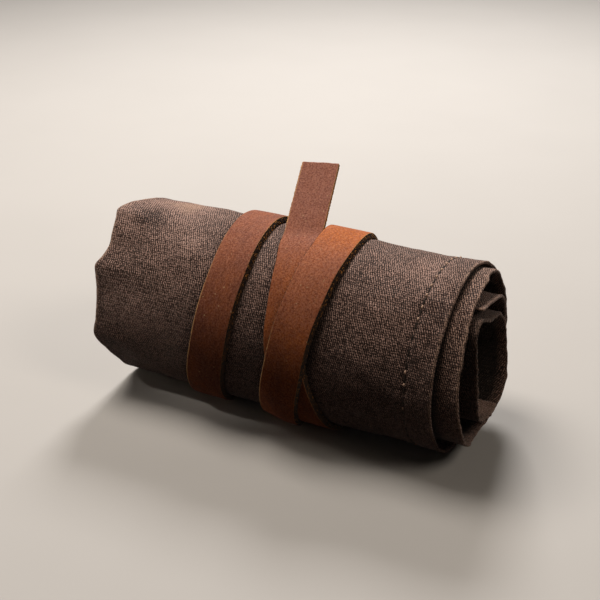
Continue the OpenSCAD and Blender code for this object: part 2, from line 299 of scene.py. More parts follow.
def waves(seed):
    """A smooth random surface of two arguments, about -1 to 1, made of sine waves."""
    rng = np.random.RandomState(seed)
    k = rng.uniform(0.5, 1.6, SINE_WAVES)
    t = rng.uniform(0, 2 * pi, SINE_WAVES)
    phase = rng.uniform(0, 2 * pi, SINE_WAVES)
    size = rng.uniform(0.5, 1, SINE_WAVES)
    size /= np.sqrt((size**2).sum() / 2) * 1.4

    def value(u, v):
        total = 0
        for i in range(SINE_WAVES):
            along = u * cos(t[i]) + v * sin(t[i])
            total = total + size[i] * np.sin(2 * pi * k[i] * along + phase[i])
        return total
    return value


# Materials
def feed(tree, node, inputs):
    """Gives a node its inputs, which are values or the outputs of other nodes."""
    for name, value in inputs.items():
        socket = node.inputs[name]
        if isinstance(value, bpy.types.NodeSocket):
            tree.links.new(value, socket)
        else:
            socket.default_value = value


def add(tree, kind, inputs=None, **props):
    node = tree.nodes.new(kind)
    for name, value in props.items():
        setattr(node, name, value)
    feed(tree, node, inputs or {})
    return node


def maths(tree, operation, a, b=0.0, c=0.0, clamp=False):
    return add(tree, "ShaderNodeMath", {0: a, 1: b, 2: c}, operation=operation, use_clamp=clamp).outputs[0]


def times(tree, a, b, plus=None, clamp=False):
    """a times b, plus a third value where there is one."""
    if plus is None:
        return maths(tree, "MULTIPLY", a, b, clamp=clamp)
    return maths(tree, "MULTIPLY_ADD", a, b, plus, clamp)


def remap(tree, value, low, high, to_low=0.0, to_high=1.0):
    limits = {"Value": value, "From Min": low, "From Max": high, "To Min": to_low, "To Max": to_high}
    return add(tree, "ShaderNodeMapRange", limits, interpolation_type="SMOOTHSTEP").outputs[0]


def mixed(tree, factor, a, b, blend="MIX"):
    node = add(tree, "ShaderNodeMix", {0: factor, 6: a, 7: b}, data_type="RGBA", blend_type=blend)
    return node.outputs[2]


def noise(tree, vector, scale, detail=2.0, roughness=0.5, distortion=0.0):
    inputs = {"Vector": vector, "Scale": scale, "Detail": detail, "Roughness": roughness, "Distortion": distortion}
    return add(tree, "ShaderNodeTexNoise", inputs).outputs["Fac"]


def stretched(tree, vector, scale):
    return add(tree, "ShaderNodeMapping", {"Vector": vector, "Scale": scale}).outputs[0]


def uv_map(tree, name):
    return add(tree, "ShaderNodeUVMap", uv_map=name).outputs[0]


def attribute(tree, name):
    return add(tree, "ShaderNodeAttribute", attribute_name=name).outputs["Fac"]


def bump(tree, strength, distance, height, inputs=()):
    inputs = {"Strength": strength, "Distance": distance, "Height": height, **dict(inputs)}
    return add(tree, "ShaderNodeBump", inputs).outputs[0]


def new_material(name):
    material = bpy.data.materials.new(name)
    material.use_nodes = True
    tree = material.node_tree
    return material, tree, tree.nodes["Principled BSDF"]


WEAVE_PITCH = 0.00114
# Colour of the painted shade
PAINTED_SHADE_TONE = (0.004, 0.003, 0.002, 1)
RUBBED_RIM = (0.50, 0.33, 0.24, 1)
BARE_YARN_AND_HIGHLIGHT = (0.50, 0.33, 0.22, 1)


def weave(tree, vector):
    """Height of a weave with uneven yarns, a random tone for each yarn's bit, and its slanted ridges."""
    drift = noise(tree, vector, 70.0, 2.0)
    jitter = times(tree, noise(tree, vector, 520.0, 2.0, 0.6), 1.1, -0.55)
    xyz = add(tree, "ShaderNodeSeparateXYZ", {"Vector": vector})
    places, waved = [], []
    for k in range(2):
        shifted = times(tree, drift, 0.0022 if k else -0.0018, xyz.outputs[k])
        place = maths(tree, "ADD", maths(tree, "DIVIDE", shifted, WEAVE_PITCH), jitter)
        places.append(place)
        waved.append(maths(tree, "ABSOLUTE", maths(tree, "SINE", times(tree, place, pi))))
    height = maths(tree, "POWER", times(tree, waved[0], waved[1]), 0.6)
    bits = [maths(tree, "FLOOR", times(tree, place, 2.0)) for place in places]
    cells = add(tree, "ShaderNodeCombineXYZ", {0: bits[0], 1: bits[1]})
    random = add(tree, "ShaderNodeTexWhiteNoise", {"Vector": cells.outputs[0]}, noise_dimensions="3D")
    slant = times(tree, places[0], -0.5, places[1])
    ridge = maths(tree, "SINE", times(tree, slant, 2 * pi))
    return height, random.outputs["Value"], ridge


def centred(tree, pattern, share, tone):
    """The tone with a share of a pattern whose middle is 0.5."""
    return times(tree, maths(tree, "SUBTRACT", pattern, 0.5), share, tone)


def canvas_material(name, dark, mid, light):
    """Waxed canvas. Attributes: frayed rim; pale wear with painted highlights and shade; painted shade."""
    material, tree, shader = new_material(name)
    vector = uv_map(tree, "cloth")
    height, each, ridge = weave(tree, vector)
    fibres = noise(tree, stretched(tree, vector, (1.0, 0.55, 1)), 2200.0, 2.0, 0.7)
    speckle = noise(tree, stretched(tree, vector, (0.8, 1.0, 1)), 950.0, 2.0, 0.65)
    blotch = noise(tree, vector, 42.0, 4.0, 0.62, 0.4)
    cloud = noise(tree, vector, 11.0, 3.0, 0.55, 0.3)
    wax = noise(tree, stretched(tree, vector, (1.0, 1.6, 1)), 150.0, 4.0, 0.65, 0.8)

    tone = times(tree, each, 0.95, -0.5)
    tone = centred(tree, speckle, 0.4, tone)
    tone = centred(tree, fibres, 0.7, tone)
    tone = times(tree, ridge, 0.46, tone)
    tone = times(tree, height, 0.68, tone)
    for pattern in (wax, blotch, cloud):
        tone = centred(tree, pattern, 0.35, tone)
    # Pale wear, together with painted highlights and painted shade from the spots and the patch inside the open
    # end
    tone = times(tree, attribute(tree, "wear_and_painted_light"), 0.45, tone, clamp=True)
    colour = mixed(tree, remap(tree, tone, 0.0, 0.5), dark, mid)
    colour = mixed(tree, remap(tree, tone, 0.45, 1.0), colour, light)
    frayed = remap(tree, noise(tree, vector, 420.0, 3.0, 0.7), 0.4, 0.6)
    # The frayed rim, worn pale
    wear_and_painted_light = times(tree, attribute(tree, "rim"), frayed, clamp=True)
    colour = mixed(tree, times(tree, wear_and_painted_light, 0.7), colour, RUBBED_RIM)
    # Painted shade: darkens the cloth beside the straps, in the channel of the seam, in the groove at the open end
    # and inside the roll
    colour = mixed(tree, attribute(tree, "painted_shade"), colour, PAINTED_SHADE_TONE)
    # Where the marks rise past 1 the cloth turns pale bare yarn; on the crest at the top left and in the patch
    # inside the open end this is painted light
    bare_and_highlight = maths(tree, "SUBTRACT", attribute(tree, "wear_and_painted_light"), 1.0, clamp=True)
    colour = mixed(tree, bare_and_highlight, colour, BARE_YARN_AND_HIGHLIGHT)
    rough = times(tree, wax, 0.6, times(tree, blotch, 0.4))
    relief = times(tree, fibres, 0.35, times(tree, ridge, 0.35, height))
    relief = times(tree, each, 0.5, relief)
    normal = bump(tree, 0.9, 0.00028, relief)
    normal = bump(tree, 0.55, 0.0009, times(tree, blotch, 0.6, wax), {"Normal": normal})
    feed(tree, shader, {"Base Color": colour, "Roughness": remap(tree, rough, 0.3, 0.7, 0.58, 0.82),
                        "Specular IOR Level": 0.07, "Sheen Weight": 0.24, "Sheen Roughness": 0.45,
                        "Sheen Tint": (0.9, 0.76, 0.7, 1), "Normal": normal})
    return material


def leather_material(name):
    """Pull-up leather. Attributes: warm where orange, a mauve tone where faded and where a sheen is painted, rim
    where pale.
    """
    material, tree, shader = new_material(name)
    vector = uv_map(tree, "strap")
    warm = attribute(tree, "warm")
    mauve_and_sheen = attribute(tree, "mauve_and_sheen")
    cloud = noise(tree, stretched(tree, vector, (1, 1.8, 1)), 32.0, 4.0, 0.6, 0.5)
    patch = noise(tree, stretched(tree, vector, (1, 1.2, 1)), 120.0, 4.0, 0.65, 0.6)
    grain = noise(tree, vector, 900.0, 4.0, 0.7)
    pores = add(tree, "ShaderNodeTexVoronoi", {"Vector": vector, "Scale": 1250.0, "Randomness": 1.0})
    pull = centred(tree, cloud, 1.35, warm)
    pull = times(tree, maths(tree, "SUBTRACT", patch, 0.5), 0.7, pull, clamp=True)
    colour = mixed(tree, pull, (0.115, 0.024, 0.010, 1), (0.49, 0.127, 0.02, 1))
    # A mauve tone: faded on the tail, and a painted sheen on the turns
    colour = mixed(tree, times(tree, mauve_and_sheen, 0.85), colour, (0.33, 0.135, 0.102, 1))
    tint = remap(tree, noise(tree, vector, 640.0, 2.0, 0.6), 0.4, 0.62)
    colour = mixed(tree, times(tree, tint, 0.22), colour, (0.24, 0.10, 0.10, 1))
    streak = noise(tree, stretched(tree, vector, (0.6, 1.2, 1)), 420.0, 3.0, 0.7)
    fleck = noise(tree, vector, 1100.0, 2.0, 0.7)
    fine = times(tree, fleck, 0.75, times(tree, streak, 0.25))
    fine = remap(tree, fine, 0.32, 0.68)
    shaded = mixed(tree, 1.0, colour, (0.66, 0.56, 0.5, 1), "MULTIPLY")
    raised = mixed(tree, 0.22, colour, (0.66, 0.30, 0.16, 1), "SCREEN")
    colour = mixed(tree, fine, shaded, raised)
    scratch = noise(tree, stretched(tree, vector, (24, 160, 1)), 6.0, 3.0, 0.6, 1.6)
    scratch = remap(tree, scratch, 0.665, 0.71)
    colour = mixed(tree, times(tree, scratch, 0.35), colour, (0.42, 0.25, 0.14, 1))
    speck = remap(tree, noise(tree, vector, 520.0, 1.0, 0.5), 0.72, 0.76)
    colour = mixed(tree, times(tree, speck, 0.7), colour, (0.55, 0.36, 0.2, 1))
    wander = noise(tree, stretched(tree, vector, (1.3, 1, 1)), 210.0, 3.0, 0.6, 1.6)
    crease = maths(tree, "ABSOLUTE", maths(tree, "SUBTRACT", wander, 0.5))
    crease = maths(tree, "SUBTRACT", 1.0, remap(tree, crease, 0.0, 0.035))
    colour = mixed(tree, times(tree, crease, 0.3), colour, (0.045, 0.012, 0.006, 1))
    frayed = remap(tree, noise(tree, vector, 300.0, 3.0, 0.7), 0.32, 0.52)
    edge = times(tree, attribute(tree, "rim"), frayed)
    colour = mixed(tree, times(tree, edge, 0.9), colour, (0.85, 0.50, 0.22, 1))
    rough = times(tree, patch, 0.22, times(tree, grain, 0.2, 0.42))
    relief = times(tree, pores.outputs["Distance"], 0.5, times(tree, grain, 0.8))
    relief = maths(tree, "SUBTRACT", relief, times(tree, crease, 0.6))
    normal = bump(tree, 0.5, 0.00016, relief)
    normal = bump(tree, 0.35, 0.0007, maths(tree, "SUBTRACT", cloud, scratch), {"Normal": normal})
    feed(tree, shader, {"Base Color": colour, "Roughness": rough, "Specular IOR Level": 0.045, "Normal": normal})
    return material


def raw_leather_material(name, dark, mid, fleck, fleck_from):
    """Fibres of cut or split leather: dark ground with light flecks. Attribute: lit, painted light on the flecks.
    """
    material, tree, shader = new_material(name)
    vector = uv_map(tree, "strap")
    fibres = noise(tree, stretched(tree, vector, (1, 1.7, 1)), 700.0, 3.0, 0.7, 0.4)
    lumps = noise(tree, vector, 330.0, 3.0, 0.6)
    # Painted light: the flecks show only as far as the edge is lit
    flecks = times(tree, remap(tree, fibres, fleck_from, fleck_from + 0.1), attribute(tree, "lit"))
    colour = mixed(tree, remap(tree, lumps, 0.35, 0.65), dark, mid)
    colour = mixed(tree, flecks, colour, fleck)
    normal = bump(tree, 0.9, 0.0005, times(tree, lumps, 0.7, fibres))
    feed(tree, shader, {"Base Color": colour, "Roughness": 0.88, "Specular IOR Level": 0.2, "Normal": normal})
    return material


def thread_material(name):
    material, tree, shader = new_material(name)
    vector = uv_map(tree, "thread")
    xyz = add(tree, "ShaderNodeSeparateXYZ", {"Vector": vector})
    along = maths(tree, "ADD", xyz.outputs[0], xyz.outputs[1])
    twist = maths(tree, "SINE", times(tree, along, 5200.0))
    fluff = noise(tree, vector, 1500.0, 3.0, 0.7)
    shade = times(tree, twist, 0.25, fluff, clamp=True)
    colour = mixed(tree, shade, (0.004, 0.003, 0.0025, 1), (0.03, 0.018, 0.012, 1))
    feed(tree, shader, {"Base Color": colour, "Roughness": 0.7, "Specular IOR Level": 0.15,
                        "Normal": bump(tree, 0.6, 0.0001, shade)})
    return material


worn_yarn, tree, shader = new_material("worn_yarn")
feed(tree, shader, {"Base Color": (0.55, 0.38, 0.28, 1), "Roughness": 0.8, "Specular IOR Level": 0.1})
WAX_DARK = (0.016, 0.008, 0.0055, 1)
outer_cloth = canvas_material("waxed_canvas", WAX_DARK, (0.102, 0.059, 0.047, 1), (0.43, 0.278, 0.230, 1))
flap_cloth = canvas_material("waxed_canvas_flap", WAX_DARK, (0.108, 0.063, 0.048, 1), (0.46, 0.296, 0.236, 1))
pocket_cloth = canvas_material(
    "pocket_canvas", (0.018, 0.012, 0.009, 1), (0.07, 0.05, 0.038, 1), (0.2, 0.15, 0.12, 1))
leather = leather_material("pull_up_leather")
raw_edge = raw_leather_material(
    "raw_leather_edge", (0.006, 0.004, 0.003, 1), (0.035, 0.016, 0.008, 1), (0.85, 0.38, 0.09, 1), 0.55)
pale_edge = raw_leather_material(
    "pale_leather_edge", (0.22, 0.09, 0.03, 1), (0.55, 0.24, 0.08, 1), (0.85, 0.48, 0.2, 1), 0.52)
flesh_side = raw_leather_material(
    "leather_flesh_side", (0.10, 0.045, 0.02, 1), (0.19, 0.09, 0.045, 1), (0.34, 0.19, 0.10, 1), 0.55)
thread = thread_material("waxed_thread")


def mesh_object(name, points, faces, materials, uv_name, uv, attributes=None, face_material=None):
    """A smooth-shaded object from points in millimetres, with one UV per point and float attributes."""
    mesh = bpy.data.meshes.new(name)
    mesh.from_pydata((np.asarray(points) * MM).tolist(), [], [tuple(f) for f in faces])
    for material in materials:
        mesh.materials.append(material)
    layer = mesh.uv_layers.new(name=uv_name)
    index = np.empty(len(mesh.loops), np.int32)
    mesh.loops.foreach_get("vertex_index", index)
    layer.data.foreach_set("uv", (np.asarray(uv, float)[index] * MM).astype(np.float32).ravel())
    for key, values in (attributes or {}).items():
        made = mesh.attributes.new(key, "FLOAT", "POINT")
        made.data.foreach_set("value", np.asarray(values, np.float32).ravel())
    if face_material is not None:
        mesh.polygons.foreach_set("material_index", np.asarray(face_material, np.int32))
    mesh.polygons.foreach_set("use_smooth", np.ones(len(mesh.polygons), bool))
    mesh.update()
    mesh.validate()
    piece = bpy.data.objects.new(name, mesh)
    bpy.context.collection.objects.link(piece)
    return piece


def tube_faces(rows, around):
    """Quads of a tube whose rings are mirror-symmetric, with flat caps that join each point to its mirror."""
    i, j = np.meshgrid(np.arange(rows - 1), np.arange(around), indexing="ij")
    k = (j + 1) % around
    corners = [i * around + j, (i + 1) * around + j, (i + 1) * around + k, i * around + k]
    sides = np.stack(corners, -1).reshape(-1, 4)
    j = np.arange(around // 2 - 1)
    first = np.stack([j, j + 1, around - 2 - j, around - 1 - j], -1)
    last = (first + (rows - 1) * around)[:, ::-1]
    return np.concatenate([sides, first, last]).tolist(), len(sides)


# Cloth
RIM_POINTS = 3
# Rounding of a cloth's two ends, in half thicknesses
END_ROUND = 1.6
# How far the thick folds and the frayed rims reach in
LEFT_FOLD, RIGHT_FOLD = 1.6, 1.8
LEFT_FRAY, RIGHT_FRAY, END_FRAY = 0.8, 0.35, 0.8


def section(columns):
    """Closed ring round a sheet: (left, mid or right, inset or offset in half thicknesses, side)."""
    arc = [pi / 2 * (k + 0.5) / RIM_POINTS for k in range(RIM_POINTS)]
    ring = [("left", -cos(t), sin(t)) for t in arc]
    ring += [("mid", c, 1.0) for c in columns]
    ring += [("right", cos(t), sin(t)) for t in reversed(arc)]
    return ring + [(place, c, -side) for place, c, side in reversed(ring)]


def cloth(name, kind, angles, columns, width, thick, bulge, hem_bulge, material, move=None, marks=None):
    """A closed sheet of cloth on one of the rolled layers.

    columns are distances from the right edge, from the left end on. bulge and hem_bulge thicken the left and the
    right edge. move gives the shift along the normal, the lean outwards and the shift along X. marks gives where
    the cloth is worn pale, and where light and shade are painted on it."""
    a = np.asarray(angles, float)
    ring = section(columns)
    m = len(ring)
    centre, normal = layer_point(kind, a), layer_normal(kind, a)
    right = layer_right(kind, a)
    half = thick / 2
    gap = np.minimum(a - a[0], a[-1] - a)
    round_off = degrees(half * END_ROUND / CORE_R)
    closing = np.sqrt(np.maximum(1 - (1 - np.clip(gap / round_off, 0, 1))**2, 0.04))
    points = np.zeros((len(a), m, 3))
    uv = np.zeros((len(a), m, 2))
    rim, wear_and_painted_light, painted_shade = np.zeros((3, len(a), m))
    step = np.radians(np.gradient(a)) * layer_r(kind, a)
    length = np.cumsum(step)
    for j, (place, c, side) in enumerate(ring):
        inset = width if place == "left" else 0.0 if place == "right" else c
        fold = half * bulge * bell(width - inset, LEFT_FOLD) + half * hem_bulge * bell(inset, RIGHT_FOLD)
        thickness = half + fold
        x = right - inset + (c * thickness if place != "mid" else 0.0)
        offset = side * thickness * closing
        shift, outward, dx = move(a, x, inset) if move else (0.0, None, 0.0)
        p = centre + normal * (offset + shift)[:, None]
        if outward is not None:
            radial = centre - np.array([0, ROLL_R])
            p = p + radial / np.linalg.norm(radial, axis=1, keepdims=True) * outward[:, None]
        points[:, j, 0] = x + dx
        points[:, j, 1:] = p
        uv[:, j, 0] = length
        uv[:, j, 1] = right - inset + (c * thickness * 1.5 if place != "mid" else 0.0)
        near = bell(inset, RIGHT_FRAY) + bell(width - inset, LEFT_FRAY)
        if place == "right":
            near = 1.0 if side > 0.9 else 0.2
        rim[:, j] = near * np.ones(len(a)) + bell(gap * CORE_R * pi / 180, END_FRAY)
        if marks is not None:
            wear_and_painted_light[:, j], painted_shade[:, j] = marks(a, x, inset, side)
    faces, _ = tube_faces(len(a), m)
    return mesh_object(name, points.reshape(-1, 3), faces, [material], "cloth", uv.reshape(-1, 2),
                       {"rim": np.clip(rim, 0, 1).reshape(-1), "wear_and_painted_light": wear_and_painted_light.reshape(-1), "painted_shade": painted_shade.reshape(-1)})


def stitch_angles(kind, start, end):
    places = [start]
    while True:
        following = places[-1] + degrees(PITCH / float(layer_r(kind, places[-1])))
        if following > end:
            return np.array(places)
        places.append(following)


broad, folds, small, tiny = waves(3), waves(11), waves(23), waves(31)
# Waves of the cloths: surface, height, length round the roll, length along X, place where it starts
CANVAS_WAVES = [(broad, 0.55, 95, 120, 0), (folds, 0.32, 30, 55, 0), (small, 0.13, 12, 16, 0),
                (tiny, 0.04, 5, 5, 0)]
FLAP_WAVES = [(folds, 0.16, 24, 20, 5), (small, 0.10, 9, 9, 0), (tiny, 0.04, 4, 4, 0)]
# The open end stands up at its top: angle round the roll, spread, height of the canvas and of the flap
TOP_AT, TOP_SPREAD, CANVAS_TOP, FLAP_TOP = 98, 26, 1.4, 1.2
seam_places = stitch_angles("canvas", HEM_TURN, CANVAS_END - HEM_TURN)


def wavy(table, turn, x):
    return sum(height * surface(turn / round_length + start, x / x_length)
               for surface, height, round_length, x_length, start in table)


def open_end_top(a):
    return bell(FREE_END - a - TOP_AT, TOP_SPREAD)


def flare(a, x):
    """How far the soft left end of the outermost turn leans out."""
    near = ease((FLARE_LEN - ROLL_LEN / 2 - x) / FLARE_LEN)
    return (1 - ease((a - 290) / 30)) * near * curve(RIM, FREE_END - a)


def seam_phase(a):
    """Place between one stitch of the topstitching (0) and the next (1)."""
    k = np.clip(np.searchsorted(seam_places, a), 1, len(seam_places) - 1)
    before, after = seam_places[k - 1], seam_places[k]
    return np.clip((a - before) / (after - before), 0, 1)


def canvas_move(a, x, inset):
    """The outer canvas waves where it is free, swells beside the straps and leans at its left rim."""
    turn = np.radians(FREE_END - a) * CORE_R
    distance = strap_distance(a, x)
    free = 0.12 + 0.88 * ease((distance + 1) / 14)
    outer = 1 - second_turn(a + 12)
    shift = wavy(CANVAS_WAVES, turn, x) * free
    shift = shift + 0.35 * bell(distance - 4.5, 3.2)
    # The seam pulls the cloth down in a shallow channel, and the cloth swells up between its stitches
    gap = inset - SEAM_INSET
    hole = np.cos(2 * pi * seam_phase(a))
    shift = shift - (0.32 + 0.14 * hole) * bell(gap, 1.4)
    shift = shift + 0.16 * bell(gap + 3.5, 2.6)
    shift = np.where(a < SECOND_FROM, shift, shift * outer * 0.5)
    shift = shift + CANVAS_TOP * ease((24 - inset) / 20) * open_end_top(a)
    left = ease((30 - (x + ROLL_LEN / 2)) / 30)
    f = flare(a, x)
    return shift * (1 - 0.3 * left), f, -f * np.clip(inset / ROLL_LEN, 0, 1)


# Spots of pale wear and of painted light; those on the crest at the top left are painted highlights,
# and those of negative strength are painted shade in hollows and creases.
# Columns: angle round the roll, place along X, reach, strength
SPOTS = [(68, -84, 8, 0.8), (74, -93, 6, 0.8), (60, -46, 5, 1.0), (55, -60, 16, 0.25),
         (14, -68, 16, 0.35), (36, -72, 13, -0.35), (84, 76, 8, 0.7), (66, 80, 7, 0.6),
         (80, 60, 12, 0.3), (30, -48, 9, 0.3), (50, 62, 12, 0.25), (24, 60, 10, 0.25),
         (98, -66, 17, 1.35), (92, -84, 9, 0.5), (78, -60, 8, 0.4), (73, -75, 8, -0.95)]


def right_of_strap(a, x):
    """How far a place lies outside the shade at the right edge of a strap: 0 at the edge, 1 at its end."""
    angle = wrapped(FREE_END - a)
    best = np.full(np.broadcast(a, x).shape, FAR)
    for w, there in strap_turns(angle):
        gap = x - strap_x(w) - half_along_x(w)
        # The shade is wider at the lower front, beside the second turn of the strap
        reach = 2.4 + np.where((w > 330) & (w < 460), 3.6 * ease((52 - angle) / 40), 0)
        best = np.where(there & (gap > -4), np.minimum(best, np.maximum(gap, 0) / reach), best)
    return best


def canvas_marks(a, x, inset, side):
    """Worn spots with painted light, and painted shade in the seam's channel and beside the straps."""
    if side < 0:
        return 0.0, 0.0
    angle = FREE_END - a
    wear_and_painted_light = np.zeros(np.shape(a))
    for centre, place, reach, strength in SPOTS:
        off = np.radians(angle - centre) * CORE_R
        wear_and_painted_light = wear_and_painted_light + strength * np.exp(-(off**2 + (x - place)**2) / reach**2)
    phase = seam_phase(a)
    gap = inset - SEAM_INSET
    # Painted shade in the seam's channel, broken midway between the stitches
    channel = bell(gap, 0.6) * (1 - bell(phase - 0.5, 0.16))
    # Painted shadow at the right of each strap, fading out towards the top
    shade = (1 - ease(right_of_strap(a, x))) * ease((85 - angle) / 35) * 0.85
    return wear_and_painted_light, np.maximum(0.7 * channel, shade)


def flap_marks(a, x, inset, side):
    """Painted shade darkens the flap where it comes out from under the canvas, and on its inner side.
    A pale patch low on its inner side is a painted pool of light.
    """
    angle = FREE_END - a
    # Inner side: a painted pool of light low in the open end, painted shade elsewhere
    if side < 0:
        patch = ease((18 - inset) / 8) * bell(angle + 466, 22)
        return 1.05 * patch, 0.92 * ease((inset - 1) / 5) * (1 - np.clip(patch * 1.5, 0, 1))
    # Outer side: paler near its edge, and painted shade in the groove under the canvas's edge
    edge = layer_right("canvas", np.minimum(a, CANVAS_END))
    reach = 2.0 + 4.0 * ease((60 - angle) / 80)
    deep = 0.97 - 0.4 * ease((a - 330) / 40)
    return 0.25 * bell(inset, 2.5) * np.ones(np.shape(a)), deep * ease((edge + reach - x) / reach)


def flap_move(a, x, inset):
    turn = np.radians(FREE_END - a) * CORE_R
    out = ease((14 - inset) / 14)
    shift = wavy(FLAP_WAVES, turn, x) * out
    shift = shift + FLAP_TOP * ease((26 - inset) / 20) * open_end_top(a)
    return shift, None, 0.25 * small(turn / 11 + 3, x / 40) * out


# Rows and columns of points, the columns closest at the edges and the topstitching
ROWS, PANEL_ROWS = 900, 420
canvas_columns = np.concatenate([
    ROLL_LEN - np.array([0.8, 1.6, 2.6, 3.8, 5.2, 6.8, 8.4, 10, 12, 14, 16, 18]),
    np.arange(ROLL_LEN - 20, 18, -2.5), np.arange(17, 14.5, -0.8), np.arange(14.4, 11.4, -0.35),
    np.arange(11, 1, -0.9), [0.9, 0.45]])
outer = cloth("canvas_outer_panel", "canvas", np.linspace(0, CANVAS_END, ROWS), canvas_columns, ROLL_LEN,
              CANVAS_T, 0.35, 0.35, outer_cloth, canvas_move, canvas_marks)
flap_width = ROLL_LEN + FLAP_EXTRA
flap_columns = np.concatenate([
    flap_width - np.array([0.8, 1.8, 3.2, 5, 8, 12]), np.arange(flap_width - 20, 26, -9.0),
    np.arange(20, 0.9, -0.9), [0.6]])
flap = cloth("canvas_cover_flap", "flap", np.linspace(FLAP_START, FLAP_END, ROWS), flap_columns, flap_width,
             CANVAS_T, 0.3, 0.3, flap_cloth, flap_move, flap_marks)
panel_width = POCKET_DEPTH + ALLOWANCE
panel_columns = np.concatenate([panel_width - np.array([0.6, 1.5, 3, 5]), np.arange(panel_width - 10, 8, -6.0),
                                [6, 4.5, 3, 1.8, 0.8]])
panel = cloth("canvas_pocket_panel", "panel", np.linspace(PANEL_START, PANEL_END, PANEL_ROWS), panel_columns,
              panel_width, PANEL_T, 0.15, 0.0, pocket_cloth)

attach(outer, "roll")
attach(flap, "roll")
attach(panel, "roll")
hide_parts("outer_canvas")
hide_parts("cover_flap")
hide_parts("pocket_panel")


# Stitches dive into the cloth at both ends, with bits of worn yarn (knots) between them.
# Sizes: length, radius, height of the middle, depth of the ends
SEAM_THREAD = (STITCH + 0.9, 0.36, 0.12, 0.5)
HEM_THREAD = (STITCH + 0.9, 0.32, 0.12, 0.5)
POCKET_THREAD = (STITCH + 0.6, 0.3, 0.12, 0.3)
ANCHOR_THREAD = (STITCH + 0.9, 0.36, 0.15, 0.5)
KNOT = (1.8, 0.42, 0.17, 0.32)
AROUND, RINGS = 8, 9
# Height of a thread against its width, taper of its ends, shift of its pattern between stitches
THREAD_FLAT, END_TAPER, PATTERN_SHIFT = 0.85, 0.45, 0.37


def stitches(name, places, sizes, node, knots=()):
    """places are (centre, along, out, side) of each stitch. knots lie between the stitches."""
    points, faces, uv, kinds = [], [], [], []
    for number, (centre, along, out, side) in enumerate(list(places) + list(knots)):
        base = len(points)
        knot = number >= len(places)
        length, radius, lift_mid, sink = KNOT if knot else sizes
        kinds += [1 if knot else 0] * ((RINGS - 1) * AROUND + 2)
        for i in range(RINGS):
            t = -1 + 2 * i / (RINGS - 1)
            arch = (1 - abs(t)**3.2)
            end = 1 - abs(t)**6 * END_TAPER
            middle = centre + along * (t * length / 2) + out * (lift_mid * arch - sink * (1 - arch))
            for j in range(AROUND):
                w = 2 * pi * j / AROUND
                wide, high = cos(w) * radius * end, sin(w) * radius * THREAD_FLAT * end
                points.append(middle + side * wide + out * high)
                uv.append((t * length / 2 + base * PATTERN_SHIFT, w * radius))
        for i in range(RINGS - 1):
            for j in range(AROUND):
                k = (j + 1) % AROUND
                faces.append((base + i * AROUND + j, base + (i + 1) * AROUND + j,
                              base + (i + 1) * AROUND + k, base + i * AROUND + k))
        faces.append(tuple(base + j for j in range(AROUND)))
        faces.append(tuple(base + (RINGS - 1) * AROUND + j for j in reversed(range(AROUND))))
    piece = mesh_object(name, np.array(points), faces, [thread, worn_yarn], "thread", np.array(uv), None, kinds)
    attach(piece, "roll")
    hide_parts(node)


def on_layer(kind, a, x, out):
    """Place on a cloth, direction round the roll, normal on the side of out, and X direction."""
    p, n = layer_point(kind, a), layer_normal(kind, a)
    normal = np.array([0, n[0], n[1]])
    facing = normal * (1 if out > 0 else -1)
    if kind == "canvas":
        one, place = np.array([float(a)]), np.array([float(x)])
        shift, outward, _ = canvas_move(one, place, layer_right(kind, one) - place)
        out = out + float(shift[0]) + float(outward[0])
    return np.array([x, p[0], p[1]]) + normal * out, np.array([0, -n[1], n[0]]), facing, np.array([1.0, 0, 0])


def round_row(kind, angles, inset, out):
    return [on_layer(kind, a, float(layer_right(kind, a)) - inset, out) for a in angles]


def across_row(kind, a, start, end, out):
    rows = []
    x = start + PITCH / 2
    while x <= end - PITCH / 2 + 1e-6:
        centre, along, facing, side = on_layer(kind, a, x, out)
        rows.append((centre, side, facing, along))
        x += PITCH
    return rows


over = CANVAS_T / 2
under = -PANEL_T / 2
between = (seam_places[1:] + seam_places[:-1]) / 2
often = 0.25 + 0.75 * ease((FREE_END - between - 20) / 35)
between = between[np.random.RandomState(4).uniform(0, 1, len(between)) < often]
stitches("thread_edge_row", round_row("canvas", seam_places, SEAM_INSET, over + 0.02), SEAM_THREAD,
         "edge_topstitching", knots=round_row("canvas", between, SEAM_INSET, over + 0.1))
for label, a in (("outer", HEM_TURN), ("inner", CANVAS_END - HEM_TURN)):
    edge = float(layer_right("canvas", a))
    row = across_row("canvas", a, edge - ROLL_LEN + FLARE_LEN, edge - SEAM_INSET, over)
    stitches("thread_%s_end_hem" % label, row, HEM_THREAD, "%s_end_hem_stitching" % label)
panel_rows = stitch_angles("panel", PANEL_START, PANEL_END)
divider = []
for k in range(1, POCKETS):
    a = float(panel_rows[int(k * len(panel_rows) / POCKETS + 0.5)])
    edge = float(layer_right("panel", a)) - ALLOWANCE
    divider += across_row("panel", a, edge - POCKET_DEPTH + HEM_INSET, edge, under)
stitches("thread_pocket_dividers", divider, POCKET_THREAD, "pocket_divider_stitching")
mouth_places = stitch_angles("panel", PANEL_START + HEM_TURN / 2, PANEL_END - HEM_TURN / 2)
mouth_row = round_row("panel", mouth_places, ALLOWANCE + POCKET_DEPTH - HEM_INSET / 2, under)
stitches("thread_pocket_mouth", mouth_row, POCKET_THREAD, "pocket_mouth_stitching")


# Strap
FACE_POINTS = 12
CORNER_R = 0.2
CROWN = 0.12
# Heights of the points of a cut edge, in half thicknesses
CUT_HIGH, CUT_MID, CUT_LOW = 0.68, 0.42, 0.14


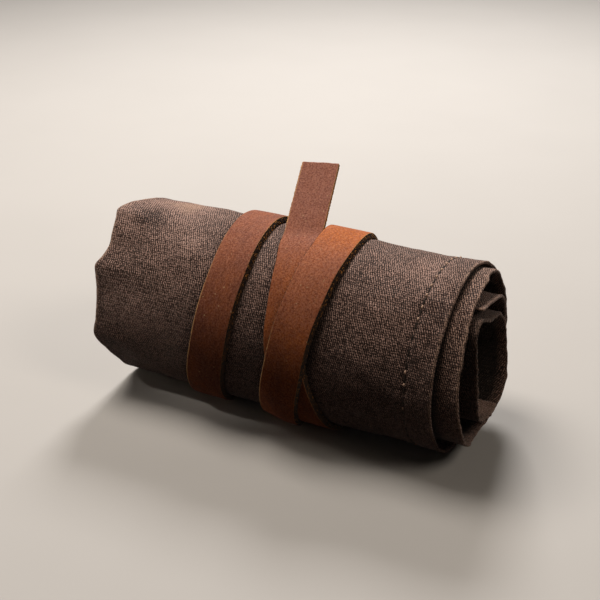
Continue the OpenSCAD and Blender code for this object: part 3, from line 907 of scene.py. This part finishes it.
def strap_section():
    """Ring round the strap: (place across, place through the thickness, kind of surface)."""
    half, deep, r = STRAP_W / 2, STRAP_T / 2, CORNER_R
    top = [(c * (half - r), deep, "face") for c in np.sin(np.linspace(-1, 1, FACE_POINTS) * pi / 2)]
    corner = [(half - r + r * sin(t), deep - r + r * cos(t), "rim") for t in (0.6, 1.2)]
    side = [(half, deep * share, "cut") for share in (CUT_HIGH, CUT_MID, CUT_LOW)]
    quarter = corner + side
    upper = [(-c, h, kind) for c, h, kind in reversed(quarter)] + top + quarter
    return upper + [(c, -h, "flesh" if kind == "face" else "cut") for c, h, kind in reversed(upper)]


ring = strap_section()
ring_cross = np.array([q[0] for q in ring])
ring_out = np.array([q[1] for q in ring])
ring_kind = [q[2] for q in ring]
ring_rim = np.array([1.0 if kind == "rim" else 0.0 for kind in ring_kind])
ring_rim[ring_kind.index("face")] = 1.0
ring_crown = np.where(ring_out > 0, CROWN * (1 - (ring_cross / (STRAP_W / 2))**2), 0)


def strap_rows(angles):
    a = np.repeat(np.asarray(angles, float)[:, None], len(ring), 1)
    tiles = (len(angles), 1)
    return strap_point(a, np.tile(ring_cross, tiles), np.tile(ring_out + ring_crown, tiles))


# How far loose fibres stand out at the rims and the cut edges, and how much more at the upper left
RIM_LOOSE, CUT_LOOSE, LEFT_MORE = 0.07, 0.34, 0.22


def roughened(rows, seed, droop, slope=0.0):
    """Moves the points of the rims and cut edges at random, outwards and down, as loose fibres do.

    droop is how far the lowest points hang, slope how far the right edge leans out at its foot."""
    rng = np.random.RandomState(seed)
    n = len(rows)
    across = rows[:, np.argmax(ring_cross)] - rows[:, np.argmin(ring_cross)]
    across /= np.linalg.norm(across, axis=1, keepdims=True)
    through = rows[:, np.argmax(ring_out)] - rows[:, len(ring) - 1 - np.argmax(ring_out)]
    through /= np.linalg.norm(through, axis=1, keepdims=True)
    rows = rows.copy()
    for j, (c, h, kind) in enumerate(ring):
        loose = rng.uniform(0, 1, n)
        if kind == "rim":
            rows[:, j] += across * (np.sign(c) * RIM_LOOSE * (loose - 0.4))[:, None]
        if kind == "cut":
            level = h / (STRAP_T / 2)
            lean = slope * (CUT_HIGH - level) / (2 * CUT_HIGH)
            more = lean if c > 0 else LEFT_MORE if h > 0 else 0.0
            rows[:, j] += across * (np.sign(c) * (CUT_LOOSE * loose**1.5 - 0.08 + more))[:, None]
            low = max(0.0, -level - 0.5) * 2
            rows[:, j] -= through * (low * droop * rng.uniform(0.2, 1, n))[:, None]
    return rows


# The strap along its wound angle, which is taken as 860 at its tip: how worn its edges are
LEFT_RIM = [(-172, 0.6), (-60, 1), (20, 0.9), (40, 0.6), (58, 0.3), (80, 0.15), (120, 0.3), (300, 0.9),
            (366, 0.8), (379, 0.3), (390, 0), (455, 0), (600, 0.2), (720, 0.1), (795, 0.05), (815, 0.45),
            (860, 0.5)]
RIGHT_RIM = [(-172, 0.4), (40, 0.2), (65, 0.5), (95, 0.7), (200, 0.4), (380, 0.1), (430, 0.35),
             (455, 0.8), (500, 0.6), (720, 0.3), (800, 0.3), (815, 0.8), (860, 0.8)]
# Painted light on the cut edges: how brightly their light fibres show, less where the edge lies in shade low in
# front
LIT_FLECKS = [(-172, 0.5), (-20, 0.15), (20, 0.25), (45, 0.6), (65, 1), (290, 0.6), (340, 0.3), (385, 0.25),
          (405, 0.6), (425, 1), (480, 1), (700, 0.3), (780, 0.4), (800, 1), (860, 1)]
# How orange its face is, and how mauve: a painted sheen on the turns between 30 and 80 degrees up the front, a
# faded tone on the tail
WARM = [(-172, 0.3), (-20, 0.05), (0, 0.12), (20, 0.22), (40, 0.32), (60, 0.3), (110, 0.26), (300, 0.2),
        (360, 0.38), (390, 0.66), (410, 0.98), (450, 0.94), (480, 0.8), (540, 0.5), (700, 0.35), (735, 0.6),
        (775, 0.75), (795, 0.5), (850, 0.3)]
MAUVE_AND_SHEEN = [(-172, 0.1), (0, 0.05), (30, 0.25), (55, 0.5), (75, 0.5), (130, 0.3), (300, 0.1), (375, 0.05),
         (398, 0.55), (425, 0.6), (446, 0.05), (500, 0.3), (740, 0.1), (770, 0.3), (795, 0.6), (825, 1.0),
         (850, 1.0)]
TIP_ANGLE = 860
# Materials of a strap piece, by their place in its list
FACE, RAW, FLESH, PALE = range(4)


def strap_piece(name, rows, along, angles, pale_from=None):
    """A piece of the strap. Its cut edges are pale from the row pale_from on."""
    n, m = rows.shape[:2]
    rows[..., 2] = np.maximum(rows[..., 2], 0)
    faces, sides = tube_faces(n, m)
    uv = np.zeros((n, m, 2))
    uv[..., 0] = along[:, None]
    uv[..., 1] = np.concatenate([[0], np.cumsum(np.hypot(np.diff(ring_cross), np.diff(ring_out)))])
    kinds = []
    for k in range(m):
        pair = {ring_kind[k], ring_kind[(k + 1) % m]}
        kinds.append(RAW if "cut" in pair else FLESH if "flesh" in pair else FACE)
    face_material = np.array(kinds)[np.arange(len(faces)) % m]
    face_material[sides:] = RAW
    if pale_from is not None:
        pale = (face_material == RAW) & (np.arange(len(faces)) // m >= pale_from)
        face_material[:sides][pale[:sides]] = PALE
    worn = np.where(ring_cross < 0, curve(LEFT_RIM, angles)[:, None], curve(RIGHT_RIM, angles)[:, None])
    looks = {"rim": (worn * ring_rim).reshape(-1)}
    for key, table in (("warm", WARM), ("mauve_and_sheen", MAUVE_AND_SHEEN), ("lit", LIT_FLECKS)):
        looks[key] = np.repeat(curve(table, angles), m)
    piece = mesh_object(name, rows.reshape(-1, 3), faces, [leather, raw_edge, flesh_side, pale_edge], "strap",
                        uv.reshape(-1, 2), looks, face_material)
    return piece


# Where the two pieces part, angle between rows, and how the edges hang and lean
SPLIT = 720.0
ROW_ANGLE = 0.5
DROOP, SLOPE, TAIL_DROOP = 0.45, 0.8, 0.1
wound_angles = np.arange(STRAP_START, SPLIT + ROW_ANGLE / 2, ROW_ANGLE)
wound_rows = roughened(strap_rows(wound_angles), 5, DROOP, SLOPE)
wound = strap_piece("strap_wound", wound_rows, np.radians(wound_angles) * STRAP_R, wound_angles)
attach(wound, "roll")
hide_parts("wound_strap")

# The free end leaves along a soft bend, from degrees before BEND to millimetres after it, then runs straight
BEND_BEFORE, BEND_AFTER = 5.0, 5.0
BEND_ROWS, TAIL_ROWS = 20, 84
DEGREE = STRAP_R * pi / 180
origin, cross, along, outward = strap_frame(BEND)
rise = radians(TAIL_RISE)
tail_along = cos(rise) * along + sin(rise) * outward
tail_out = cos(rise) * outward - sin(rise) * along
bend_from = BEND - BEND_BEFORE
kept = np.arange(SPLIT - ROW_ANGLE, bend_from, ROW_ANGLE)


def tail_row(s):
    return origin + tail_along * s + cross * ring_cross[:, None] + tail_out * (ring_out + ring_crown)[:, None]


low = strap_rows([bend_from])[0]
low_slope = (low - strap_rows([bend_from - 1])[0]) / DEGREE
high, high_slope = tail_row(BEND_AFTER), np.tile(tail_along, (len(ring), 1))
span = BEND_AFTER + BEND_BEFORE * STRAP_R * pi / 180
soft = [hermite(t, low, high, span * low_slope, span * high_slope) for t in np.linspace(0, 1, BEND_ROWS)]
straight = np.array([tail_row(s) for s in np.linspace(BEND_AFTER + 0.5, TAIL_LEN, TAIL_ROWS)])
straight[-1] += tail_along * np.random.RandomState(9).uniform(-0.16, 0.12, len(ring))[:, None]
rows = np.concatenate([roughened(strap_rows(kept), 6, DROOP, SLOPE), np.array(soft),
                       roughened(straight, 7, TAIL_DROOP)])
middle = rows.mean(1)
run = np.concatenate([[0], np.cumsum(np.linalg.norm(np.diff(middle, axis=0), axis=1))])
run_angle = np.interp(run, [0, run[len(kept)], run[-1]], [SPLIT, bend_from, TIP_ANGLE])
free_end = strap_piece("strap_free_end", rows, run + radians(SPLIT) * STRAP_R, run_angle,
                       pale_from=len(kept) + len(soft))
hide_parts("strap_tail")
start_point = strap_frame(bend_from)[0]
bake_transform(free_end)

# The stitched box that holds the hidden start of the strap
ANCHOR_SHARE = 0.6
anchor = []
half = STRAP_W / 2 - STRAP_T
box_end = STRAP_T + STRAP_W * ANCHOR_SHARE


def anchor_frame(s):
    return strap_frame(STRAP_START + s * (180 / pi / STRAP_R), STRAP_T / 2 + 0.1)


s = STRAP_T + PITCH / 2
while s <= box_end + 1e-6:
    base, cross_dir, along_dir, out_dir = anchor_frame(s)
    for side in (-1, 1):
        anchor.append((base + cross_dir * half * side, along_dir, out_dir, cross_dir))
    s += PITCH
for s in (STRAP_T, box_end + PITCH / 2):
    base, cross_dir, along_dir, out_dir = anchor_frame(s)
    for x in (-half / 2, half / 2):
        anchor.append((base + cross_dir * x, cross_dir, out_dir, along_dir))
stitches("thread_strap_anchor", anchor, ANCHOR_THREAD, "strap_anchor_stitching")


# Flat sizes of the sheets: the flat size of each is its cut
def arc_length(kind, start, end):
    a = np.linspace(start, end, 2000)
    p = layer_point(kind, a)
    return float(np.linalg.norm(np.diff(p, axis=0), axis=1).sum())


flat_outer = (ROLL_LEN * MM, arc_length("canvas", 0, CANVAS_END) * MM)
flat_flap = (flap_width * MM, arc_length("flap", FLAP_START, FLAP_END) * MM)
flat_panel = (panel_width * MM, arc_length("panel", PANEL_START, PANEL_END) * MM)


# Floor, lamps and background. Floor and background look pale, but light the roll only a little
BOUNCE = (0.014, 0.007, 0.004, 1)
FLOOR_HALF = 6.0


def seen_directly(tree):
    rays = add(tree, "ShaderNodeLightPath")
    return maths(tree, "MAXIMUM", rays.outputs["Is Camera Ray"],
                 maths(tree, "MAXIMUM", rays.outputs["Is Glossy Ray"], rays.outputs["Is Transmission Ray"]))


def floor_material():
    material, tree, shader = new_material("pale_floor")
    vector = add(tree, "ShaderNodeTexCoord").outputs["Object"]
    cloud = noise(tree, vector, 9.0, 3.0, 0.5)
    pale = mixed(tree, cloud, (0.50, 0.49, 0.475, 1), (0.53, 0.52, 0.505, 1))
    colour = mixed(tree, seen_directly(tree), BOUNCE, pale)
    feed(tree, shader, {"Base Color": colour, "Roughness": 0.9, "Specular IOR Level": 0.15})
    return material


floor_mesh = bpy.data.meshes.new("floor")
floor_corners = [(x * FLOOR_HALF, y * FLOOR_HALF, 0) for x, y in ((-1, -1), (1, -1), (1, 1), (-1, 1))]
floor_mesh.from_pydata(floor_corners, [], [(0, 1, 2, 3)])
floor_mesh.materials.append(floor_material())
floor = bpy.data.objects.new("floor", floor_mesh)
bpy.context.collection.objects.link(floor)

world = bpy.data.worlds.new("studio")
bpy.context.scene.world = world
world.use_nodes = True
tree = world.node_tree
tree.nodes.clear()
seen = seen_directly(tree)
lit = add(tree, "ShaderNodeBackground", {"Color": (1, 0.75, 0.55, 1), "Strength": 0.009})
shown = add(tree, "ShaderNodeBackground", {"Color": (0.9, 0.89, 0.875, 1), "Strength": 0.8})
mix = add(tree, "ShaderNodeMixShader", {0: seen, 1: lit.outputs[0], 2: shown.outputs[0]})
add(tree, "ShaderNodeOutputWorld", {"Surface": mix.outputs[0]})


def lamp(name, place, size, power, colour, target=(0, 0, 0.05)):
    """A square area light, or a spot where the size is None."""
    data = bpy.data.lights.new(name, "AREA" if size else "SPOT")
    if size:
        data.shape = "RECTANGLE"
        data.size = data.size_y = size
    data.energy = power
    data.color = colour
    light = bpy.data.objects.new(name, data)
    bpy.context.collection.objects.link(light)
    direction = np.array(place, float) - np.array(target, float)
    direction /= np.linalg.norm(direction)
    light.location = place
    light.rotation_euler = (acos(direction[2]), 0, atan2(direction[1], direction[0]) + pi / 2)
    return light


lamp("key", (-0.3, 0.85, 0.9), 0.35, 13.0, (1, 0.95, 0.91))
lamp("top", (-0.4, 0.05, 1.2), 0.6, 10.4, (1, 0.91, 0.82))
lamp("left", (-1.2, -0.12, 0.13), 0.25, 2.2, (1, 0.8, 0.62))
lamp("right", (0.9, -0.15, 1.0), 0.4, 3.2, (1, 0.88, 0.75))
spot = lamp("spot", (-0.6, -0.55, 1.0), None, 11.5, (1, 0.9, 0.8), target=(-0.071, -0.043, 0.057))
spot.data.spot_size = radians(4.6)
spot.data.spot_blend = 1.0
spot.data.shadow_soft_size = 0.03

bpy.context.scene.view_settings.view_transform = "Standard"
